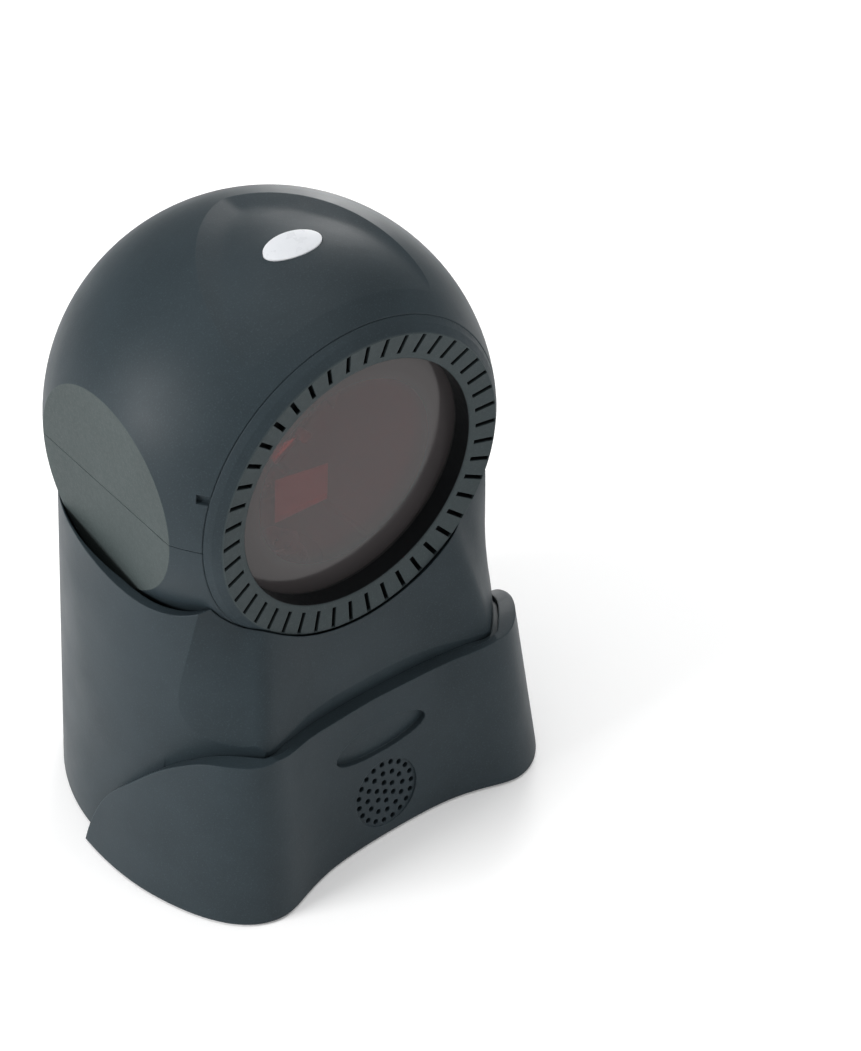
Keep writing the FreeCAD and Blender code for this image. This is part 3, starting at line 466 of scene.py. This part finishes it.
def filter_material():
    """Smoked red filter: a milky, tinted, glossy front face with an opaque rim, clear behind."""
    red, light_red = (0.86, 0.085, 0.070), (0.90, 0.100, 0.085)
    milk, light_milk = (0.082, 0.081, 0.083), (0.092, 0.090, 0.093)
    rim, light_rim = (0.047, 0.042, 0.043), (0.052, 0.047, 0.048)
    veil_share = 0.5                      # of the front face, inside the rim
    mirror_share, grazing_share = 0.03, 0.6

    shader = Shader("red_filter")
    smear = shader.noise(60.0, detail=4.0, roughness=0.6)
    front = shader.span(shader.window_depth(), FILTER_BACK, FILTER_FRONT)
    tint = shader.mix(shader.vary(smear, 0.0, 1.0), rgba(red), rgba(light_red))
    clear = shader.feed(shader.add("ShaderNodeBsdfTransparent"),
                        {"Color": shader.mix(front, rgba((1.0, 1.0, 1.0)), tint)})

    outer = shader.span(shader.window_radius(), FILTER_CLEAR, FILTER_OPAQUE)
    share = shader.math("MULTIPLY", front, shader.span(outer, 0.0, 1.0, veil_share, 1.0))
    centre_colour = shader.mix(smear, rgba(milk), rgba(light_milk))
    rim_colour = shader.mix(smear, rgba(rim), rgba(light_rim))
    veil = shader.feed(shader.add("ShaderNodeBsdfDiffuse"),
                       {"Color": shader.mix(outer, centre_colour, rim_colour)})
    body = shader.mix_surfaces(share, clear.outputs[0], veil.outputs[0])

    gloss = shader.feed(shader.add("ShaderNodeBsdfGlossy"),
                        {"Color": (1.0, 0.98, 0.97, 1.0),
                         "Roughness": shader.vary(smear, 0.10, 0.18)})
    facing = shader.feed(shader.add("ShaderNodeLayerWeight"), {"Blend": 0.5})
    grazing = shader.math("POWER", facing.outputs["Facing"], 4.0)
    mirrored = shader.math("ADD", shader.math("MULTIPLY", grazing, grazing_share), mirror_share)
    shader.feed(shader.output,
                {"Surface": shader.mix_surfaces(mirrored, body, gloss.outputs[0])})
    return shader.material


# ---------------------------------------------------------------- the screen behind the window

# The plate's corners are in millimetres about the ball's centre, the other lengths in metres.
SCREEN_CORNERS_MM = ((-3.2, -5.1, -16.2), (-7.9, -11.0, -22.2),
                     (5.9, -14.2, -19.2), (9.8, -9.6, -14.4))
MM = 0.001
SCREEN_SKIRT = 0.0017
SCREEN_SHEET = 0.0004
SCREEN_ROUNDING = 0.00015


def make_detector_screen():
    """Folded tin plate that shades the detector board; it glints red behind the window."""
    mesh = bmesh.new()
    top = mesh.faces.new([mesh.verts.new(Vector(corner) * MM) for corner in SCREEN_CORNERS_MM])
    folded = bmesh.ops.extrude_edge_only(mesh, edges=top.edges[:])["geom"]
    low = [item for item in folded if isinstance(item, bmesh.types.BMVert)]
    bmesh.ops.translate(mesh, verts=low, vec=(0.0, 0.0, -SCREEN_SKIRT))
    bmesh.ops.recalc_face_normals(mesh, faces=mesh.faces[:])
    data = bpy.data.meshes.new("detector_screen")
    mesh.to_mesh(data)
    mesh.free()
    screen = put_in_scene("detector_screen", data)
    thick = screen.modifiers.new("sheet", "SOLIDIFY")
    thick.thickness = SCREEN_SHEET
    rounding = screen.modifiers.new("fold", "BEVEL")
    rounding.width = SCREEN_ROUNDING
    rounding.segments = 3
    screen.location = HINGE
    data.materials.append(metal("tinned_screen", (0.94, 0.94, 0.94), 0.55, (1.0, 6.0, 1.0), 500.0))
    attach(screen, "head")


# ---------------------------------------------------------------- dressing the CAD nodes

def dress(material, *names):
    for name in names:
        slots = NODES[name].data.materials
        slots.clear()
        slots.append(material)


def numbered(stem, count):
    return ["%s_%d" % (stem, n) for n in range(1, count + 1)]


def dress_all():
    dress(shell_material(), "head_upper_shell", "head_lower_shell")
    dress(stand_material(), "stand_column", "front_apron")
    dress(ring_material(), "front_bezel")
    dress(filter_material(), "scan_window")
    dress(lens_material(), "status_lens")
    dress(rubber_material(), "window_gasket", *numbered("foot", 5))
    dress(cloth_material(), "speaker_cloth")
    dress(board_material(), "status_board", "main_board", "detector_board", "decoder_board",
          "interface_board")
    dress(mirror_material(), "collecting_mirror", "polygon_mirror", *numbered("pattern_mirror", 3))
    dress(plain_plastic("black_moulding", (0.012, 0.012, 0.013)),
          "window_retainer", "ball_saddle", "base_plate", "cable_jack", "clamp_shoe")
    dress(plain_plastic("chip_black", (0.02, 0.02, 0.022), 0.35, 2600.0), "board_components")
    dress(plain_plastic("chassis_grey", (0.10, 0.105, 0.11), 0.5), "optics_chassis")
    dress(metal("zinc_steel", (0.46, 0.47, 0.49), 0.32),
          "shell_screw_left", "shell_screw_right", "clamp_stud", "clamp_nut", "spring_washer",
          *numbered("retainer_screw", 4), *numbered("base_screw", 4))
    dress(metal("machined_aluminium", (0.78, 0.79, 0.81), 0.34, (1.0, 1.0, 14.0)),
          "laser_block")
    dress(metal("turned_brass", (0.78, 0.60, 0.30), 0.25, (14.0, 1.0, 1.0)), "laser_barrel")
    dress(metal("pressed_steel", (0.50, 0.50, 0.52), 0.36), "motor_housing", "speaker")
    dress(metal("ballast_steel", (0.20, 0.20, 0.21), 0.55), "ballast_plate")


make_camera()
make_floor()
make_lights()
make_sky()
dress_all()
make_detector_screen()
